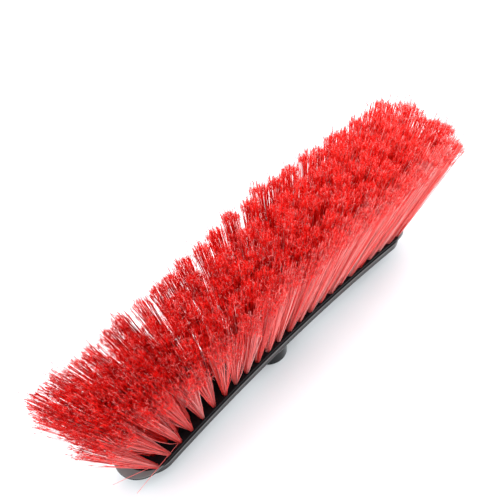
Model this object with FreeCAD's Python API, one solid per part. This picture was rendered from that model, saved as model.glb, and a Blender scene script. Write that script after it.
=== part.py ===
import FreeCAD, Part
import math
import os

from FreeCAD import Vector

# Push broom head, in millimetres, lying on its handle socket with the bristles up.
# Origin: centre of the socket's mouth.  +X runs along the block, +Z towards the bristles.

# Block: an arched moulding with a thin plate that runs past the thicker body at both ends
FACE_TOP = 37.0          # face of the block above the socket's mouth, at mid length
ARCH_RADIUS = 1130.0     # the face is part of a cylinder about an axis along Y
BLOCK_LENGTH = 377.0
PLATE_WIDTH = 48.4
PLATE_THICKNESS = 2.0
LIP_START = 165.0        # beyond this the plate's ends roll down
LIP_RADIUS = 100.0
PLATE_EDGE_ROUND = 0.6

BODY_WIDTH = 51.6
BODY_END_CENTRE = 155.0  # distance from the middle to the centre of each rounded end
BODY_TOP_DEPTH = 1.7     # depths are measured down from the face
BODY_EDGE_ROUND = 1.2
WALL_BOTTOM_DEPTH = 8.0
WALL_DRAFT = 0.3         # how far the side wall leans in, top to bottom
BACK_DEPTH = 18.0
BACK_FLAT_WIDTH = 26.0
BACK_BULGE = 1.0         # how far the rounded back stands out from a straight slope

# Handle socket, a plain round one with two ribs on the block's back
SOCKET_RADIUS = 18.0
SOCKET_FLARE_RADIUS = 21.0
SOCKET_FLARE_START = 13.0
SOCKET_ROOT = 23.0       # the boss ends here, inside the body
SOCKET_MOUTH_ROUND = 1.0
BORE_RADIUS = 12.1
BORE_DEPTH = 23.0
BORE_CHAMFER = 1.0
RIB_THICKNESS = 5.0
RIB_REACH = 52.0
RIB_FOOT = 4.0           # height at which a rib leaves the socket
RIB_END = 20.0           # height of its underside at the far end, inside the body

# Tufts: three rows of 24, with two rows of 25 set between them that round off the ends
SHORT_ROW_COUNT = 24
TUFT_PITCH = 14.5
OUTER_ROW_Y = 20.3
ROW_COUNT = 5
TUFT_LENGTH = 105.0      # from the face to the tip
END_LEAN = 0.60          # run over rise of a short row's last tuft, along X
SIDE_LEAN = 0.22         # run over rise of the outer rows, along Y
HOLE_RADIUS = 2.5
HOLE_DEPTH = 11.0
ROOT_RADIUS = 2.35       # of a tuft, where it leaves the face
TIP_RADIUS = 8.0

# Anchors: a bit of flat wire across the bottom of each hole
ANCHOR_WIDTH = 4.4
ANCHOR_HEIGHT = 1.8
ANCHOR_THICKNESS = 0.4

ARCH_AXIS_Z = FACE_TOP - ARCH_RADIUS
HALF_ROW = TUFT_PITCH * (SHORT_ROW_COUNT - 1) / 2
ROW_SPACING = 2 * OUTER_ROW_Y / (ROW_COUNT - 1)
Y_AXIS = Vector(0, 1, 0)
Z_AXIS = Vector(0, 0, 1)


def face_height(x):
    return ARCH_AXIS_Z + math.sqrt(ARCH_RADIUS**2 - x**2)


def arc_points(centre_x, centre_z, radius, start, end):
    """Three points of an arc in the XZ plane, at angles measured from +Z towards +X."""
    angles = (start, (start + end) / 2, end)
    return [Vector(centre_x + radius * math.sin(a), 0, centre_z + radius * math.cos(a)) for a in angles]


def side_curve(depth):
    """The face's curve seen from the side, moved down by a depth: end, arch, end."""
    turn = math.asin(LIP_START / ARCH_RADIUS)
    lip_x = (ARCH_RADIUS - LIP_RADIUS) * math.sin(turn)
    lip_z = ARCH_AXIS_Z + (ARCH_RADIUS - LIP_RADIUS) * math.cos(turn)
    past_end = BLOCK_LENGTH / 2 + PLATE_THICKNESS
    tip = math.asin((past_end - lip_x) / LIP_RADIUS)
    left = arc_points(-lip_x, lip_z, LIP_RADIUS - depth, -tip, -turn)
    arch = arc_points(0, ARCH_AXIS_Z, ARCH_RADIUS - depth, -turn, turn)
    right = arc_points(lip_x, lip_z, LIP_RADIUS - depth, turn, tip)
    return [Part.Arc(*points).toShape() for points in (left, arch, right)]


def stadium(length, width, low, high):
    """An upright prism with straight sides and half-round ends."""
    radius = width / 2
    straight = length / 2 - radius
    sides = [
        Part.makeLine(Vector(-straight, -radius, low), Vector(straight, -radius, low)),
        Part.makeLine(Vector(straight, radius, low), Vector(-straight, radius, low)),
    ]
    ends = [
        Part.Arc(Vector(s * straight, -s * radius, low), Vector(s * length / 2, 0, low),
                 Vector(s * straight, s * radius, low)).toShape()
        for s in (1, -1)
    ]
    outline = Part.Wire([sides[0], ends[0], sides[1], ends[1]])
    return Part.Face(outline).extrude(Vector(0, 0, high - low))


def faces_up(face):
    u0, u1, v0, v1 = face.ParameterRange
    return face.normalAt((u0 + u1) / 2, (v0 + v1) / 2).z > 0.5


def top_rim(solid):
    """The edges around the top of a solid, without those between two faces of the top."""
    edges = [e for face in solid.Faces if faces_up(face) for e in face.Edges]
    return [e for e in edges if sum(e.isSame(other) for other in edges) == 1]


def make_plate():
    """The thin plate that is the block's face, and rolls down at its ends."""
    top = side_curve(0)
    bottom = side_curve(PLATE_THICKNESS)
    left_end = Part.makeLine(bottom[0].Vertexes[0].Point, top[0].Vertexes[0].Point)
    right_end = Part.makeLine(top[-1].Vertexes[-1].Point, bottom[-1].Vertexes[-1].Point)
    outline = Part.Wire(Part.__sortEdges__([left_end, *top, right_end, *bottom]))
    strip = Part.Face(outline).extrude(Y_AXIS * 2 * PLATE_WIDTH)
    strip.translate(Y_AXIS * -PLATE_WIDTH)
    plate = strip.common(stadium(BLOCK_LENGTH, PLATE_WIDTH, -FACE_TOP, 2 * FACE_TOP))
    return plate.makeFillet(PLATE_EDGE_ROUND, top_rim(plate))


def body_section():
    """Half of the body's cross-section at mid length, on the +Y side of the XZ plane."""
    half = BODY_WIDTH / 2
    top = FACE_TOP - BODY_TOP_DEPTH
    back = FACE_TOP - BACK_DEPTH
    round_middle = BODY_EDGE_ROUND * (1 - math.sqrt(0.5))
    wall_foot = Vector(0, half - WALL_DRAFT, FACE_TOP - WALL_BOTTOM_DEPTH)
    back_edge = Vector(0, BACK_FLAT_WIDTH / 2, back)
    bulge = Vector(0, (wall_foot.y + back_edge.y) / 2 + BACK_BULGE, (wall_foot.z + back) / 2 - BACK_BULGE)
    ledge = Vector(0, half - BODY_EDGE_ROUND, top)
    wall_top = Vector(0, half, top - BODY_EDGE_ROUND)
    ledge_round = Vector(0, half - round_middle, top - round_middle)
    edges = [
        Part.makeLine(Vector(0, 0, back), Vector(0, 0, top)),
        Part.makeLine(Vector(0, 0, top), ledge),
        Part.Arc(ledge, ledge_round, wall_top).toShape(),
        Part.makeLine(wall_top, wall_foot),
        Part.Arc(wall_foot, bulge, back_edge).toShape(),
        Part.makeLine(back_edge, Vector(0, 0, back)),
    ]
    return Part.Face(Part.Wire(edges))


def make_body():
    """The thick part under the plate: the section swept along the arch, with half-round ends."""
    half = body_section()
    other_half = half.mirror(Vector(0, 0, 0), Y_AXIS)
    arch_centre = Vector(0, 0, ARCH_AXIS_Z)
    turn = math.degrees(math.asin(BODY_END_CENTRE / ARCH_RADIUS))
    pieces = []
    for side in (half, other_half):
        start = side.copy()
        start.rotate(arch_centre, Y_AXIS, -turn)
        pieces.append(start.revolve(arch_centre, Y_AXIS, 2 * turn))
    for end in (-1, 1):
        round_end = half.revolve(Vector(0, 0, 0), Z_AXIS, -180 * end)
        round_end.rotate(arch_centre, Y_AXIS, turn * end)
        pieces.append(round_end)
    return pieces[0].fuse(pieces[1:]).removeSplitter()


def make_socket():
    """The boss for the handle, flared where it meets the back, with a rib to each side."""
    flare_height = SOCKET_ROOT - SOCKET_FLARE_START
    boss = Part.makeCylinder(SOCKET_RADIUS, SOCKET_ROOT)
    mouth_edge = [e for e in boss.Edges if e.Closed and abs(e.CenterOfMass.z) < 0.01]
    boss = boss.makeFillet(SOCKET_MOUTH_ROUND, mouth_edge)
    flare = Part.makeCone(SOCKET_RADIUS, SOCKET_FLARE_RADIUS, flare_height, Vector(0, 0, SOCKET_FLARE_START))
    ribs = [socket_rib(side) for side in (-1, 1)]
    return boss.fuse([flare, *ribs])


def socket_rib(side):
    corners = [
        Vector(0, -RIB_THICKNESS / 2, RIB_FOOT),
        Vector(side * SOCKET_RADIUS, -RIB_THICKNESS / 2, RIB_FOOT),
        Vector(side * RIB_REACH, -RIB_THICKNESS / 2, RIB_END),
        Vector(side * RIB_REACH, -RIB_THICKNESS / 2, SOCKET_ROOT),
        Vector(0, -RIB_THICKNESS / 2, SOCKET_ROOT),
    ]
    profile = Part.makePolygon([*corners, corners[0]])
    return Part.Face(profile).extrude(Y_AXIS * RIB_THICKNESS)


def handle_bore():
    bore = Part.makeCylinder(BORE_RADIUS, BORE_DEPTH)
    lead_in = Part.makeCone(BORE_RADIUS + BORE_CHAMFER, BORE_RADIUS, BORE_CHAMFER)
    return bore.fuse(lead_in)


def make_block(tufts):
    holes = [tuft_hole(root, lean) for root, lean in tufts]
    solid = make_plate().fuse([make_body(), make_socket()])
    return solid.cut([handle_bore(), *holes]).removeSplitter()


def tuft_place(x, y):
    """Where a tuft leaves the face, and the direction in which it leans."""
    lean = Vector(END_LEAN * x / HALF_ROW, SIDE_LEAN * y / OUTER_ROW_Y, 1)
    return Vector(x, y, face_height(x)), lean.normalize()


def tuft_hole(root, lean):
    above = HOLE_RADIUS * 2
    return Part.makeCylinder(HOLE_RADIUS, HOLE_DEPTH + above, root - lean * HOLE_DEPTH, lean)


def make_tuft(root, lean):
    """A bunch of bristles as one cone, from the top of its anchor to the tips."""
    buried = HOLE_DEPTH - ANCHOR_HEIGHT
    taper = (TIP_RADIUS - ROOT_RADIUS) / TUFT_LENGTH
    foot_radius = ROOT_RADIUS - taper * buried
    return Part.makeCone(foot_radius, TIP_RADIUS, buried + TUFT_LENGTH, root - lean * buried, lean)


def make_anchor(root, lean):
    anchor = Part.makeBox(ANCHOR_WIDTH, ANCHOR_THICKNESS, ANCHOR_HEIGHT,
                          Vector(-ANCHOR_WIDTH / 2, -ANCHOR_THICKNESS / 2, 0))
    anchor.Placement = FreeCAD.Placement(root - lean * HOLE_DEPTH, FreeCAD.Rotation(Z_AXIS, lean))
    return anchor


def tuft_ranks():
    """Tuft positions, rank by rank along X: two tufts, then three set between them, and so on."""
    ranks = []
    for step in range(-1, 2 * SHORT_ROW_COUNT):
        x = step * TUFT_PITCH / 2 - HALF_ROW
        rows = range(step % 2, ROW_COUNT, 2)
        ranks.append([(row, tuft_place(x, row * ROW_SPACING - OUTER_ROW_Y)) for row in rows])
    return ranks


def export(shape, node):
    assert shape.isValid(), node
    print(node, "solids", len(shape.Solids), "volume", round(shape.Volume, 1))
    shape.exportStep(f"parts/{node}.step")


def main():
    os.makedirs("parts", exist_ok=True)
    ranks = tuft_ranks()
    export(make_block([place for rank in ranks for _, place in rank]), "block")
    anchors = {row: [] for row in range(ROW_COUNT)}
    for number, rank in enumerate(ranks, 1):
        export(Part.makeCompound([make_tuft(*place) for _, place in rank]), f"tuft_rank_{number:02d}")
        for row, place in rank:
            anchors[row].append(make_anchor(*place))
    for row, pieces in anchors.items():
        export(Part.makeCompound(pieces), f"anchor_row_{row + 1}")


main()
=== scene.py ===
"""Looks of the push broom head: bristles, plastic, wire, floor, light and camera, round its CAD frame."""

import math
from collections import namedtuple

import bmesh
import bpy
import numpy as np
from mathutils import Matrix, Vector


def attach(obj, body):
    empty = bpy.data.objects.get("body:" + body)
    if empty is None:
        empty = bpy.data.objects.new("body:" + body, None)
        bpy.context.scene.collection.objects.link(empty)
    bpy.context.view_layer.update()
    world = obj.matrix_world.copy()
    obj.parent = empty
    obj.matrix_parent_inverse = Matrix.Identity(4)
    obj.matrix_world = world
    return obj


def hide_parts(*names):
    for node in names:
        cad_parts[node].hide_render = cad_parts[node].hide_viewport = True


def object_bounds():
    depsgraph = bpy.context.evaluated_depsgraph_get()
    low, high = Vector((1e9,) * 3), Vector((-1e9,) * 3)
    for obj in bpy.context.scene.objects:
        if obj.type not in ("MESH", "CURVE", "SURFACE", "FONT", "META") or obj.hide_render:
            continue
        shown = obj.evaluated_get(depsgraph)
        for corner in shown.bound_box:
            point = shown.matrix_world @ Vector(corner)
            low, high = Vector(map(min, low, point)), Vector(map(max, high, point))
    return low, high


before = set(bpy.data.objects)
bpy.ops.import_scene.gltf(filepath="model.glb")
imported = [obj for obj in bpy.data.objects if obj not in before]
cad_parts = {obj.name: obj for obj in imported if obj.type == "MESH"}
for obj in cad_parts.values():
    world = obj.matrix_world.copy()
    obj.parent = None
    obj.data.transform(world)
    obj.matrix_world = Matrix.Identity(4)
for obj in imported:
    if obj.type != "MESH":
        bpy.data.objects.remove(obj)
cad_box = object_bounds()

SEED = 24
MM = 0.001

# Camera, in the part's frame, in metres
CAMERA_TARGET = Vector((0.0592, 0.0836, 0.0247))
CAMERA_AZIMUTH = math.radians(-136.91)    # of the camera seen from its target, from +X
CAMERA_ELEVATION = math.radians(48.28)
CAMERA_ROLL = math.radians(-3.29)
CAMERA_DISTANCE = 1.435
CAMERA_LENS = 110.3                       # mm, on a sensor 36 mm along the picture's long side

# Light and floor
KEY_PLACE = Vector((0.35, 0.4, 1.35))
KEY_TARGET = Vector((0.0, 0.0, 0.05))
KEY_SIZE = 1.2                            # metres
KEY_POWER = 11                            # watts
KEY_COLOUR = (1.0, 0.99, 0.98)
SKY_COLOUR = (0.93, 0.97, 1.0, 1)
SKY_BRIGHT_SIDE = (0.8, 0.6, 0.0)
SKY_STRENGTHS = (1.5, 2.3)                # away from the bright side and towards it
FLOOR_REACH = 4.0                         # metres from the middle

# Bristles: lengths and radii in millimetres, leans as run over rise
BURIED = 9.2              # how far a CAD tuft reaches down its hole, below the block's face
RING_TOLERANCE = 1.0      # vertices this near to a CAD cone's end are on its end ring
HIDDEN_START = 3.0        # bristles begin this far down the hole
PACKED_RADIUS = 1.75      # of a tuft in its hole
BRISTLES_PER_TUFT = 108
BRISTLE_RADIUS = 0.235
BRISTLE_TIP_RADIUS = 0.18
SIDES = 3                 # sides of a bristle's tube
SKEW = (0.31, 0.95, 0.05)     # no bristle runs this way
SHAFT_STATIONS = np.array((0.0, 0.3, 0.6, 0.8, 0.9, 1.0))

# How the tufts differ along the head
ROW_END = 166.0           # every row's last tufts stand at least this far from the middle
OUTER_ROW = 15.0          # only the two outer rows stand further out than this
END_EXTRA_LEAN = 0.08     # added along X at the +X end
COMBED = 0.16             # lean added towards +Y at the -X end
END_EXTRA_FLARE = 0.32    # share added to the width of the end tufts, but not in the -Y side row
END_EXTRA_LENGTH = 5.0    # added to the tufts at the +X end
APART = 0.90              # width of the tufts of the +Y side row, which stand apart up to APART_END
APART_END = 90.0
ROUGH_END = -60.0         # the -Y side row is dishevelled from here to the -X end
WORN_SHARE = 0.66         # bristles left in the dishevelled tufts

# How the bristles of a tuft differ
LEAN_SCATTER = 0.018      # of whole tufts
LENGTH_SCATTER = 1.6      # of whole tufts
FLARE = np.array((1.17, 1.30))    # width of the tips along X and Y, against a CAD cone's tip
FLARE_SCATTER = 0.07
PACKING_SCATTER = 0.10    # of a bristle's place, in radii of the tuft
WISPS = 13                # a tuft's bristles cling together in wisps
CLINGING = 0.10           # how far a bristle is drawn to the middle of its wisp at the tips
TIP_SCATTER = 1.2
REACH_SCATTER = 1.9
CROWN = 3.0               # bristles at a tuft's edge are this much shorter
LOOSE_SHARE = 0.06        # loose bristles stray more at the tips
LOOSE_SCATTER = 2.6
ROUGH_SHARE = 0.20        # rough bristles, in the dishevelled tufts, stray most, and towards +Y
ROUGH_SCATTER = 6.0
ROUGH_PUSH = 5.0
PROUD_SHARE = 0.18        # proud bristles stand up past the others, and straighter
PROUD_LENGTH = 1.5
PROUD_SCATTER = 3.0
PROUD_AT_END = 3.0        # added to the scatter in the end tufts
PROUD_AT_SIDE = 1.5       # and in the outer rows
PROUD_LIMPNESS = 0.12     # how much a proud bristle wanders and curls, against a common one
EDGE_LIMPNESS = 0.5       # the same for the +Y side row and the last tufts at the -X end
SAG = 1.2                 # four times the sag of a shaft at its middle
ROUGH_SAG = 5.0           # how many times more the rough ones sag
WANDER = 1.0              # of a shaft's points, from WANDER_START to its end
WANDER_START = 0.6

# Hairs: the flagged end of a bristle is split into fine hairs
HAIRS_PER_BRISTLE = 4
HAIR_RADIUS = 0.14
HAIR_TIP_RADIUS = 0.09
HAIR_STATIONS = np.array((0.0, 0.25, 0.5, 0.75, 1.0))
SPLIT = (0.935, 0.972)    # where on a bristle its hairs begin
HAIR_END_SCATTER = 0.010
HAIR_BEND = 2.2
HAIR_CURL = 0.6

# Colour of the bristles: tint goes from 0, dark, to 1, light, and holds a random tone with painted shade
# along the head; the painted highlight is how pale they are over it
PAINTED_SHADE_GRADIENT = 0.17              # painted shade and light: the tint rises by this from the middle to the +X end, painted lighter as if more light fell there, and falls to the -X end, painted darker
TUFT_TINT = 0.05          # scatter of the tint between tufts, wisps, bristles and hairs
WISP_TINT = 0.16
BRISTLE_TINT = 0.30
HAIR_TINT = 0.2
PAINTED_PALE_SHARE = 0.07         # bristles with a painted highlight, pale all along, in place of the gloss lines on the shafts
ROUGH_PAINTED_PALE_SHARE = 0.3    # added for the rough ones: more of them get the painted highlight
PAINTED_PALENESS = (0.3, 1.0)
PAINTED_SHEEN = 0.12              # painted sheen: paleness laid on the shafts of the -Y side row, in place of the sheen of light on them
PAINTED_SHEEN_GAIN = 0.5          # share of it added from the middle to the +X end, where the painted sheen is brighter as if more light fell there
PAINTED_GLINT_SHARE = 0.26        # hairs with pale ends: painted glints on the tips
PAINTED_GLINT_GAIN = 0.08         # added from the middle to the +X end, where more painted glints stand in for brighter light
PAINTED_GLINT = (0.2, 1.0)        # how pale those painted glints are

# Block, in metres: its body ends in half circles about points this far from the middle
BODY_END_CENTRE = 0.155
BODY_EDGE = 0.0258        # half the body's width
PAINTED_HIGHLIGHT_INSET = (0.0007, 0.0001)      # the painted highlight along that edge begins, and is full, this far in from it

# Single bristles astray from an outer tuft: rank, lean along X and along Y (run over rise), length
STRAYS = (
    (2, -0.93, -0.32, 105),
    (2, -0.91, -0.02, 106),
    (2, -0.86, 0.02, 104),
    (6, -1.55, -0.64, 105),
    (46, 0.84, -0.36, 112),
    (48, 0.69, -0.35, 113),
)
STRAY_BOW = 1.5
STRAY_UPRIGHT = 4.0       # how many times steeper a stray stands in its hole
STRAY_TINT = 0.6
# painted highlight laid over the stray bristles
STRAY_PAINTED_GLINT = 0.35

# Bristles keep to the CAD box with this share of each side and this length added, but not below it
BOX_MARGIN = 0.03
BOX_ROOM = 9.5 * MM

# The frame of a tuft: where it leaves the block, its axis, two directions across it, and its length
Axes = namedtuple("Axes", "root along first second length")

# The bristles of a tuft: places across it at the foot and the tip, reach, sag, limpness, wisp, roughness
Bunch = namedtuple("Bunch", "low spread reach sag limp member rough")

# A set of strands with as many stations each: centre lines, and values at each station
Strands = namedtuple("Strands", "paths radii tint glint")


def room():
    """Lowest and highest corner that a bristle may reach, in metres."""
    low, high = (np.array(corner) for corner in cad_box)
    spare = (high - low) * BOX_MARGIN + BOX_ROOM
    return np.append((low - spare)[:2], low[2]), high + spare


def numbers(seed_offset):
    """A generator of random numbers, always the same for the same offset."""
    return np.random.default_rng(SEED + seed_offset)


def shake(rng, amount, shape=None):
    """Random offsets, normal up to two deviations."""
    return amount * np.clip(rng.standard_normal(shape), -2, 2)


def unit(vectors):
    return vectors / np.linalg.norm(vectors, axis=-1, keepdims=True)


def across(direction):
    """Two unit vectors square to a direction and to each other, the first near X."""
    first = unit(np.cross(np.cross(direction, (1.0, 0.0, 0.0)), direction))
    return first, np.cross(direction, first)


# ---- bristles ----

def cone_ends(points):
    """Foot centre, tip centre and tip radius of a cone, from its vertices on two or more rings."""
    upper = points[:, 2] > (points[:, 2].min() + points[:, 2].max()) / 2
    axis = unit(points[upper].mean(0) - points[~upper].mean(0))
    height = points @ axis
    tips = points[height > height.max() - RING_TOLERANCE]
    feet = points[height < height.min() + RING_TOLERANCE]
    tip = tips.mean(0)
    return feet.mean(0), tip, np.linalg.norm(tips - tip, axis=1).max()


def tuft_cones(node):
    """Foot centre, tip centre and tip radius of each cone of a CAD rank, in mm, in order of Y."""
    mesh = bmesh.new()
    mesh.from_mesh(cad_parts[node].data)
    bmesh.ops.remove_doubles(mesh, verts=mesh.verts, dist=1e-6)
    waiting = set(mesh.verts)
    cones = []
    while waiting:
        island, front = [], [waiting.pop()]
        while front:
            vert = front.pop()
            island.append(vert.co / MM)
            for edge in vert.link_edges:
                other = edge.other_vert(vert)
                if other in waiting:
                    waiting.remove(other)
                    front.append(other)
        cones.append(cone_ends(np.array(island)))
    mesh.free()
    return sorted(cones, key=lambda cone: cone[0][1])


def tubes(paths, radii):
    """Closed tubes along paths (n, k, 3) with radii (n, k): vertices, quads and end triangles."""
    count, stations, _ = paths.shape
    along = unit(np.gradient(paths, axis=1))
    side = unit(np.cross(along, SKEW))
    other = np.cross(along, side)
    angles = np.arange(SIDES) * 2 * math.pi / SIDES
    ring = (side[:, :, None] * np.cos(angles)[:, None] + other[:, :, None] * np.sin(angles)[:, None])
    verts = paths[:, :, None] + ring * radii[:, :, None, None]
    index = np.arange(count * stations * SIDES).reshape(count, stations, SIDES)
    after = np.roll(index, -1, axis=2)
    quads = np.stack([index[:, :-1], after[:, :-1], after[:, 1:], index[:, 1:]], axis=-1)
    caps = np.concatenate([index[:, 0, ::-1], index[:, -1]])
    return verts.reshape(-1, 3), quads.reshape(-1, 4), caps


def mesh_object(name, sets):
    """One object from several sets of strands, in mm, with their tint, which holds painted shade, and
    their painted highlight as attributes.
    """
    tubing = [tubes(strands.paths, strands.radii) for strands in sets]
    verts = np.concatenate([part[0] for part in tubing])
    starts = np.cumsum([0] + [len(part[0]) for part in tubing[:-1]])
    quads = np.concatenate([part[1] + start for part, start in zip(tubing, starts)])
    caps = np.concatenate([part[2] + start for part, start in zip(tubing, starts)])
    mesh = bpy.data.meshes.new(name)
    mesh.vertices.add(len(verts))
    mesh.vertices.foreach_set("co", np.clip(verts * MM, *room()).astype(np.float32).ravel())
    mesh.loops.add(quads.size + caps.size)
    mesh.loops.foreach_set("vertex_index", np.concatenate([quads.ravel(), caps.ravel()]).astype(np.int32))
    mesh.polygons.add(len(quads) + len(caps))
    first = np.concatenate([np.arange(len(quads)) * 4, quads.size + np.arange(len(caps)) * SIDES])
    mesh.polygons.foreach_set("loop_start", first.astype(np.int32))
    mesh.update(calc_edges=True)
    mesh.polygons.foreach_set("use_smooth", np.ones(len(mesh.polygons), bool))
    for key in ("tint", "glint"):
        values = np.concatenate([np.repeat(getattr(strands, key).ravel(), SIDES) for strands in sets])
        mesh.attributes.new(key, "FLOAT", "POINT").data.foreach_set("value", values.astype(np.float32))
    piece = bpy.data.objects.new(name, mesh)
    bpy.context.scene.collection.objects.link(piece)
    return piece


def disc_points(rng, count):
    """Evenly packed points of a unit disc, well shaken."""
    order = np.arange(count) + 0.5
    radius = np.sqrt(order / count)
    angle = order * math.pi * (3 - math.sqrt(5)) + rng.uniform(0, 2 * math.pi)
    even = np.stack([radius * np.cos(angle), radius * np.sin(angle)], axis=1)
    return even + rng.normal(0, PACKING_SCATTER, (count, 2))


def blend(start, end, share):
    return start + (end - start) * share


def tuft_axes(rng, foot, tip):
    """The frame of a tuft from its CAD cone, with the lean and length that its place on the head adds."""
    along = unit(tip - foot)
    root = foot + along * BURIED
    side = np.sign(root[0])
    end_share = min(abs(root[0]) / ROW_END, 1.0)
    extra = np.array([END_EXTRA_LEAN * (side > 0) * end_share**6, COMBED * (side < 0) * end_share**4, 0])
    along = unit(along + extra + shake(rng, LEAN_SCATTER, 3))
    longer = END_EXTRA_LENGTH * (side > 0) * end_share**4
    length = np.linalg.norm(tip - foot) - BURIED + longer + shake(rng, LENGTH_SCATTER)
    return Axes(root, along, *across(along), length)


def tuft_bunch(rng, axes, tip_radius):
    """The bristles of a tuft: how they are packed, how they flare and how far they reach."""
    x, y = axes.root[:2]
    end_share = min(abs(x) / ROW_END, 1.0)
    near_row, far_row = y < -OUTER_ROW, y > OUTER_ROW
    dishevelled = near_row and x < ROUGH_END

    count = round(BRISTLES_PER_TUFT * (WORN_SHARE if dishevelled else 1))
    packed = disc_points(rng, count)
    widening = 1 + END_EXTRA_FLARE * end_share**6 * (not near_row)
    widening *= APART if far_row and x < APART_END else 1
    flare = tip_radius * widening * (FLARE + shake(rng, FLARE_SCATTER, 2))
    wisps = disc_points(rng, WISPS)
    member = np.linalg.norm(packed[:, None] - wisps, axis=2).argmin(1)
    spread = blend(packed, wisps[member], CLINGING) * flare + shake(rng, TIP_SCATTER, (count, 2))
    loose = rng.random(count) < LOOSE_SHARE
    spread[loose] += shake(rng, LOOSE_SCATTER, (loose.sum(), 2))
    rough = (rng.random(count) < ROUGH_SHARE) & dishevelled
    spread[rough] += shake(rng, ROUGH_SCATTER, (rough.sum(), 2)) + np.array([0.0, ROUGH_PUSH])

    reach = axes.length - CROWN * np.linalg.norm(packed, axis=1)**3 + shake(rng, REACH_SCATTER, count)
    proud = rng.random(count) < PROUD_SHARE
    boldest = PROUD_SCATTER + PROUD_AT_END * end_share**4 + PROUD_AT_SIDE * (near_row or far_row)
    reach[proud] += PROUD_LENGTH + np.abs(shake(rng, boldest, proud.sum()))
    common = EDGE_LIMPNESS if far_row or x < -ROW_END else 1.0
    limp = np.where(proud, PROUD_LIMPNESS, common)[:, None, None]
    sag = shake(rng, SAG, (count, 2)) * np.where(rough, ROUGH_SAG, 1.0)[:, None]
    return Bunch(packed * PACKED_RADIUS, spread, reach, sag, limp, member, rough)


def place(axes, bunch, share, offset):
    """Points of each bristle at shares of its length, with a sideways offset."""
    share = share[..., None]
    aside = bunch.low[:, None] + (bunch.spread - bunch.low)[:, None] * share
    aside = aside + bunch.sag[:, None] * (share**2 - share) + offset
    rise = -HIDDEN_START + (bunch.reach + HIDDEN_START)[:, None, None] * share
    return axes.root + aside[..., :1] * axes.first + aside[..., 1:] * axes.second + rise * axes.along


def shaft_strands(rng, axes, bunch):
    """The shafts of a tuft's bristles."""
    endward = axes.root[0] / ROW_END      # from -1 at the -X end to 1 at the +X end
    near_row = axes.root[1] < -OUTER_ROW
    each = (len(bunch.reach), 1)
    share = np.broadcast_to(SHAFT_STATIONS, (len(bunch.reach), len(SHAFT_STATIONS)))
    wander = shake(rng, WANDER, (*share.shape, 2)) * np.clip(share - WANDER_START, 0, 1)[..., None]
    taper = np.clip(share * 4 - 3, 0, 1)  # over the last quarter
    # Painted shade: the tint is darker towards the -X end and lighter towards the +X end, as if the light
    # fell off along the head, over a random tone per tuft
    dye_and_painted_shade = 0.5 + PAINTED_SHADE_GRADIENT * endward + shake(rng, TUFT_TINT)
    by_wisp = shake(rng, WISP_TINT, WISPS)[bunch.member, None]
    tint = np.clip(dye_and_painted_shade + by_wisp + shake(rng, BRISTLE_TINT, each), 0, 1)
    # Painted highlight: some bristles are pale all along, more of the rough ones, in place of gloss lines
    painted_pale_share = PAINTED_PALE_SHARE + ROUGH_PAINTED_PALE_SHARE * bunch.rough[:, None]
    painted_pale = rng.uniform(*PAINTED_PALENESS, each) * (rng.random(each) < painted_pale_share)
    # Painted sheen: patchy paleness on the shafts of the -Y side row, brighter towards the +X end
    painted_sheen = PAINTED_SHEEN * near_row * (1 + PAINTED_SHEEN_GAIN * endward)
    patchy = (rng.random(WISPS)[bunch.member, None] + rng.random(each))**2
    painted_pale = np.maximum(painted_pale, painted_sheen * 2 * patchy)
    flat = np.ones_like(share)
    path = place(axes, bunch, share, wander * bunch.limp)
    return Strands(path, blend(BRISTLE_RADIUS, BRISTLE_TIP_RADIUS, taper), tint * flat, painted_pale * flat)


def hair_strands(rng, axes, bunch, shaft_tint_and_painted_shade):
    """One hair at the end of each of a tuft's bristles."""
    each = (len(bunch.reach), 1)
    split = rng.uniform(*SPLIT, each)
    final = 1.0 + shake(rng, HAIR_END_SCATTER, each)
    share = blend(split, final, HAIR_STATIONS)
    bend = shake(rng, HAIR_BEND, (*each, 2)) * (HAIR_STATIONS**1.3)[:, None] * bunch.limp
    curl = shake(rng, HAIR_CURL, (*share.shape, 2)) * np.sqrt(HAIR_STATIONS)[:, None] * bunch.limp
    radii = np.tile(blend(HAIR_RADIUS, HAIR_TIP_RADIUS, HAIR_STATIONS), each)
    tint = np.clip(shaft_tint_and_painted_shade + shake(rng, HAIR_TINT, each), 0, 1)
    # Painted glints: pale ends on a share of the hairs, more towards the +X end, growing paler towards
    # the tip
    painted_glint_share = PAINTED_GLINT_SHARE + PAINTED_GLINT_GAIN * axes.root[0] / ROW_END
    glint = rng.uniform(*PAINTED_GLINT, each) * (rng.random(each) < painted_glint_share)
    path = place(axes, bunch, share, bend + curl)
    return Strands(path, radii, tint * np.ones_like(share), glint * HAIR_STATIONS)


def tuft_strands(rng, foot, tip, tip_radius):
    """The bristles of one tuft, and the fine hairs that their ends are split into."""
    axes = tuft_axes(rng, foot, tip)
    bunch = tuft_bunch(rng, axes, tip_radius)
    shafts = shaft_strands(rng, axes, bunch)
    shaft_tint_and_painted_shade = shafts.tint[:, :1]
    return [shafts] + [hair_strands(rng, axes, bunch, shaft_tint_and_painted_shade) for _ in range(HAIRS_PER_BRISTLE)]


def stray_bristle(rng, foot, lean_x, lean_y, length):
    """One bristle that stands out of a tuft, a little bowed."""
    direction = unit(np.array([lean_x, lean_y, 1.0]))
    share = SHAFT_STATIONS[None]
    bow = shake(rng, STRAY_BOW, 3) * (share**2 - share)[..., None]
    in_hole = unit(np.array([lean_x, lean_y, STRAY_UPRIGHT]))
    start = foot + in_hole * (BURIED - HIDDEN_START)
    path = start + direction * length * share[..., None] + bow
    radii = blend(BRISTLE_RADIUS, BRISTLE_TIP_RADIUS, share)
    # A mid tint with a painted highlight over it
    return Strands(path, radii, np.full(share.shape, STRAY_TINT), np.full(share.shape, STRAY_PAINTED_GLINT))


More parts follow.
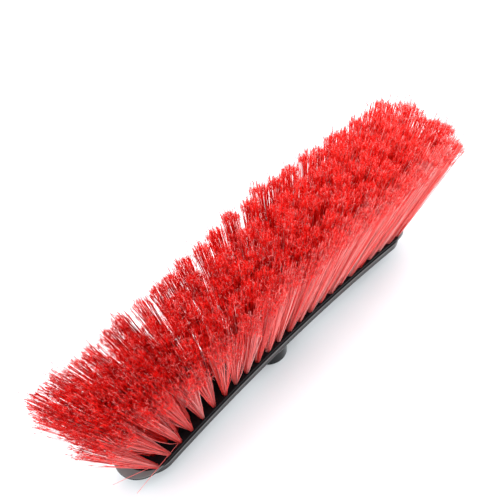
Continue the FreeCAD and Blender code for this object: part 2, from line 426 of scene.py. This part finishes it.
def make_rank(number, node):
    """All bristles of one rank of tufts as one piece."""
    rng = numbers(number)
    cones = tuft_cones(node)
    sets = [strands for cone in cones for strands in tuft_strands(rng, *cone)]
    sets += [stray_bristle(rng, cones[0][0], *stray[1:]) for stray in STRAYS if stray[0] == number]
    return mesh_object(f"bristles_{number:02d}", sets)


# ---- materials ----

def new_material(name):
    """A material, its node tree and its shader."""
    material = bpy.data.materials.new(name)
    material.use_nodes = True
    return material, material.node_tree, material.node_tree.nodes["Principled BSDF"]


def add(tree, kind, inputs=None, **settings):
    """A node with its settings, and its inputs set or linked by name or number."""
    node = tree.nodes.new("ShaderNode" + kind)
    for key, value in settings.items():
        setattr(node, key, value)
    for key, value in (inputs or {}).items():
        if isinstance(value, bpy.types.NodeSocket):
            tree.links.new(value, node.inputs[key])
        else:
            node.inputs[key].default_value = value
    return node


def noise(tree, where, scale, detail, roughness=0.5):
    pattern = {"Vector": where, "Scale": scale, "Detail": detail, "Roughness": roughness}
    return add(tree, "TexNoise", pattern).outputs["Fac"]


def two_tone(tree, value, dark, light):
    """A ramp between two colours, by a value from 0 to 1."""
    ramp = add(tree, "ValToRGB", {"Fac": value})
    ramp.color_ramp.elements[0].color = dark
    ramp.color_ramp.elements[1].color = light
    return ramp


def lay_over(tree, colour, other, factor):
    """A colour with another one laid over it."""
    mix = add(tree, "Mix", {"Factor": factor, 6: colour, 7: other}, data_type="RGBA")
    return mix.outputs[2]


def finish(tree, shader, gloss, roughness, relief, strength, depth):
    """Roughness that follows one pattern within a range, and bumps that follow another."""
    least, most = roughness
    rough = add(tree, "MapRange", {"Value": gloss, "To Min": least, "To Max": most})
    tree.links.new(rough.outputs[0], shader.inputs["Roughness"])
    bump = add(tree, "Bump", {"Height": relief, "Strength": strength, "Distance": depth})
    tree.links.new(bump.outputs[0], shader.inputs["Normal"])


def bristle_material():
    material, tree, shader = new_material("red_bristle")
    tint = add(tree, "Attribute", attribute_name="tint").outputs["Fac"]
    glint = add(tree, "Attribute", attribute_name="glint").outputs["Fac"]
    # Dark red to light red by the tint, which holds painted shade along the head as well as a random tone
    ramp = two_tone(tree, tint, (0.50, 0.0, 0.0, 1), (1.0, 0.035, 0.022, 1))
    ramp.color_ramp.elements.new(0.5).color = (0.95, 0.004, 0.002, 1)
    # Painted highlight: pale pink laid over the red, in place of glints and sheen on the bristles
    colour = lay_over(tree, ramp.outputs["Color"], (1.0, 0.48, 0.45, 1), glint)
    tree.links.new(colour, shader.inputs["Base Color"])
    grain = noise(tree, add(tree, "TexCoord").outputs["Object"], 900.0, 2.0)
    finish(tree, shader, grain, (0.24, 0.42), grain, 0.25, 0.00005)
    shader.inputs["Specular IOR Level"].default_value = 0.18
    return material


def outline_distance(tree, where):
    """Distance of a point from the block's long axis, measured round the centres of its round ends."""
    parts = add(tree, "SeparateXYZ", {0: where})
    size = add(tree, "Math", {0: parts.outputs["X"]}, operation="ABSOLUTE")
    past = add(tree, "Math", {0: size.outputs[0], 1: BODY_END_CENTRE}, operation="SUBTRACT")
    beyond = add(tree, "Math", {0: past.outputs[0], 1: 0.0}, operation="MAXIMUM")
    flat = add(tree, "CombineXYZ", {"X": beyond.outputs[0], "Y": parts.outputs["Y"]})
    return add(tree, "VectorMath", {0: flat.outputs[0]}, operation="LENGTH").outputs["Value"]


def painted_edge_highlight(tree, where, cloud):
    """How much painted highlight the body's outer top edge gets: pale where the edge faces up, in
    patches, in place of the light reflected on its rounded edge.
    """
    outward = outline_distance(tree, where)
    start, full = (BODY_EDGE - inset for inset in PAINTED_HIGHLIGHT_INSET)
    on_edge = add(tree, "MapRange", {"Value": outward, "From Min": start, "From Max": full})
    normal = add(tree, "SeparateXYZ", {0: add(tree, "NewGeometry").outputs["Normal"]})
    upward = add(tree, "MapRange", {"Value": normal.outputs["Z"], "From Min": 0.02, "From Max": 0.35})
    edge = add(tree, "Math", {0: on_edge.outputs[0], 1: upward.outputs[0]}, operation="MULTIPLY")
    patch = add(tree, "MapRange", {"Value": cloud, "To Min": 0.4, "To Max": 1.0})
    return add(tree, "Math", {0: edge.outputs[0], 1: patch.outputs[0]}, operation="MULTIPLY").outputs[0]


def plastic_material():
    material, tree, shader = new_material("black_moulded_plastic")
    where = add(tree, "TexCoord").outputs["Object"]
    grain = noise(tree, where, 1800.0, 3.0, 0.6)
    cloud = noise(tree, where, 45.0, 4.0, 0.55)
    ramp = two_tone(tree, cloud, (0.004, 0.004, 0.0045, 1), (0.011, 0.011, 0.012, 1))
    # Painted highlight: pale grey laid along the body's top edge over the black
    colour = lay_over(tree, ramp.outputs["Color"], (0.22, 0.22, 0.215, 1), painted_edge_highlight(tree, where, cloud))
    tree.links.new(colour, shader.inputs["Base Color"])
    finish(tree, shader, cloud, (0.10, 0.22), grain, 0.25, 0.00008)
    shader.inputs["Specular IOR Level"].default_value = 0.22
    return material


def wire_material():
    material, tree, shader = new_material("steel_wire")
    grain = noise(tree, add(tree, "TexCoord").outputs["Object"], 1500.0, 3.0)
    ramp = two_tone(tree, grain, (0.42, 0.41, 0.39, 1), (0.66, 0.65, 0.63, 1))
    tree.links.new(ramp.outputs["Color"], shader.inputs["Base Color"])
    finish(tree, shader, grain, (0.25, 0.5), grain, 0.2, 0.00005)
    shader.inputs["Metallic"].default_value = 1.0
    return material


def floor_material():
    material, tree, shader = new_material("white_floor")
    cloud = noise(tree, add(tree, "TexCoord").outputs["Object"], 6.0, 2.0)
    ramp = two_tone(tree, cloud, (0.90, 0.905, 0.91, 1), (0.92, 0.925, 0.93, 1))
    tree.links.new(ramp.outputs["Color"], shader.inputs["Base Color"])
    shader.inputs["Roughness"].default_value = 0.7
    shader.inputs["Specular IOR Level"].default_value = 0.2
    return material


# ---- stage ----

def make_floor():
    mesh = bmesh.new()
    bmesh.ops.create_grid(mesh, x_segments=8, y_segments=8, size=FLOOR_REACH)
    data = bpy.data.meshes.new("floor")
    mesh.to_mesh(data)
    mesh.free()
    floor = bpy.data.objects.new("floor", data)
    bpy.context.scene.collection.objects.link(floor)
    data.materials.append(floor_material())


def make_key_light():
    """One large square lamp above the +X, +Y side."""
    data = bpy.data.lights.new("key", "AREA")
    data.shape = "SQUARE"
    data.size = KEY_SIZE
    data.energy = KEY_POWER
    data.color = KEY_COLOUR
    light = bpy.data.objects.new("key", data)
    bpy.context.scene.collection.objects.link(light)
    light.location = KEY_PLACE
    light.rotation_euler = (KEY_TARGET - KEY_PLACE).to_track_quat("-Z", "Y").to_euler()


def make_world():
    """A white studio all round, brighter on one side."""
    world = bpy.data.worlds.new("studio")
    world.use_nodes = True
    tree = world.node_tree
    back = tree.nodes["Background"]
    back.inputs["Color"].default_value = SKY_COLOUR
    where = add(tree, "TexCoord").outputs["Generated"]
    towards = add(tree, "VectorMath", {0: where, 1: SKY_BRIGHT_SIDE}, operation="DOT_PRODUCT")
    cosine, (least, most) = towards.outputs["Value"], SKY_STRENGTHS
    strength = add(tree, "MapRange", {"Value": cosine, "From Min": -1.0, "To Min": least, "To Max": most})
    tree.links.new(strength.outputs[0], back.inputs["Strength"])
    bpy.context.scene.world = world


def make_camera():
    data = bpy.data.cameras.new("camera")
    data.lens = CAMERA_LENS
    data.sensor_width = 36
    data.clip_start, data.clip_end = 0.05, 20
    camera = bpy.data.objects.new("camera", data)
    bpy.context.scene.collection.objects.link(camera)
    level = math.cos(CAMERA_ELEVATION)
    x, y = level * math.cos(CAMERA_AZIMUTH), level * math.sin(CAMERA_AZIMUTH)
    back = Vector((x, y, math.sin(CAMERA_ELEVATION)))
    right = Vector((0, 0, 1)).cross(back).normalized()
    turn = Matrix.Rotation(CAMERA_ROLL, 3, back)
    right = turn @ right
    axes = Matrix((right, back.cross(right), back)).transposed()
    camera.matrix_world = Matrix.Translation(CAMERA_TARGET + back * CAMERA_DISTANCE) @ axes.to_4x4()
    bpy.context.scene.camera = camera


# ---- assembly ----

def dress(piece, material):
    """Puts a material on a carried-over CAD node or a new piece."""
    if not piece.material_slots:
        piece.data.materials.append(material)
    for material_slot in piece.material_slots:
        material_slot.material = material


make_camera()
make_key_light()
make_world()
make_floor()
bpy.context.scene.view_settings.view_transform = "Standard"

plastic, wire, bristle = plastic_material(), wire_material(), bristle_material()
for node, item in sorted(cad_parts.items()):
    if node.startswith("tuft_rank"):
        number = int(node.rsplit("_", 1)[1])
        piece = make_rank(number, node)
        dress(piece, bristle)
        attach(piece, "root")
        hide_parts(node)
    elif node.startswith("anchor"):
        dress(item, wire)
    else:
        dress(item, plastic)

bpy.context.view_layer.update()
